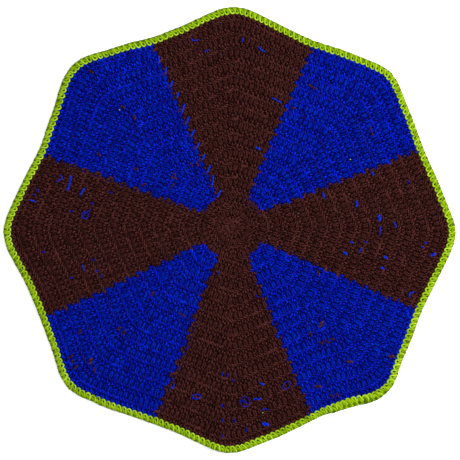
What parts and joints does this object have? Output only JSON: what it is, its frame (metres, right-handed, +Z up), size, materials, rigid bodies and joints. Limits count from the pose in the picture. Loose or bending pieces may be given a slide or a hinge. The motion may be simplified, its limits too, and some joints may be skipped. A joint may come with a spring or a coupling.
{
  "type": "crochet placemat",
  "caption": "Flat octagonal crochet placemat in one piece, with wedges of a second colour and a crocheted edging, for laying under a plate.",
  "frame": {"origin": "on the table under the middle of the mat's outline", "axes": "+Z up, out of the mat's upper face; +X to the right and +Y away, as the mat lies before a person at the table"},
  "size_m": [0.4064, 0.401, 0.0078],
  "materials": {
    "brown_yarn": "matt crocheted yarn, dark brown",
    "blue_yarn": "matt crocheted yarn, deep blue",
    "lime_yarn": "matt crocheted yarn, lime green"
  },
  "bodies": {
    "root": {"mat": "brown_yarn", "edging": "lime_yarn"}
  },
  "joints": []
}
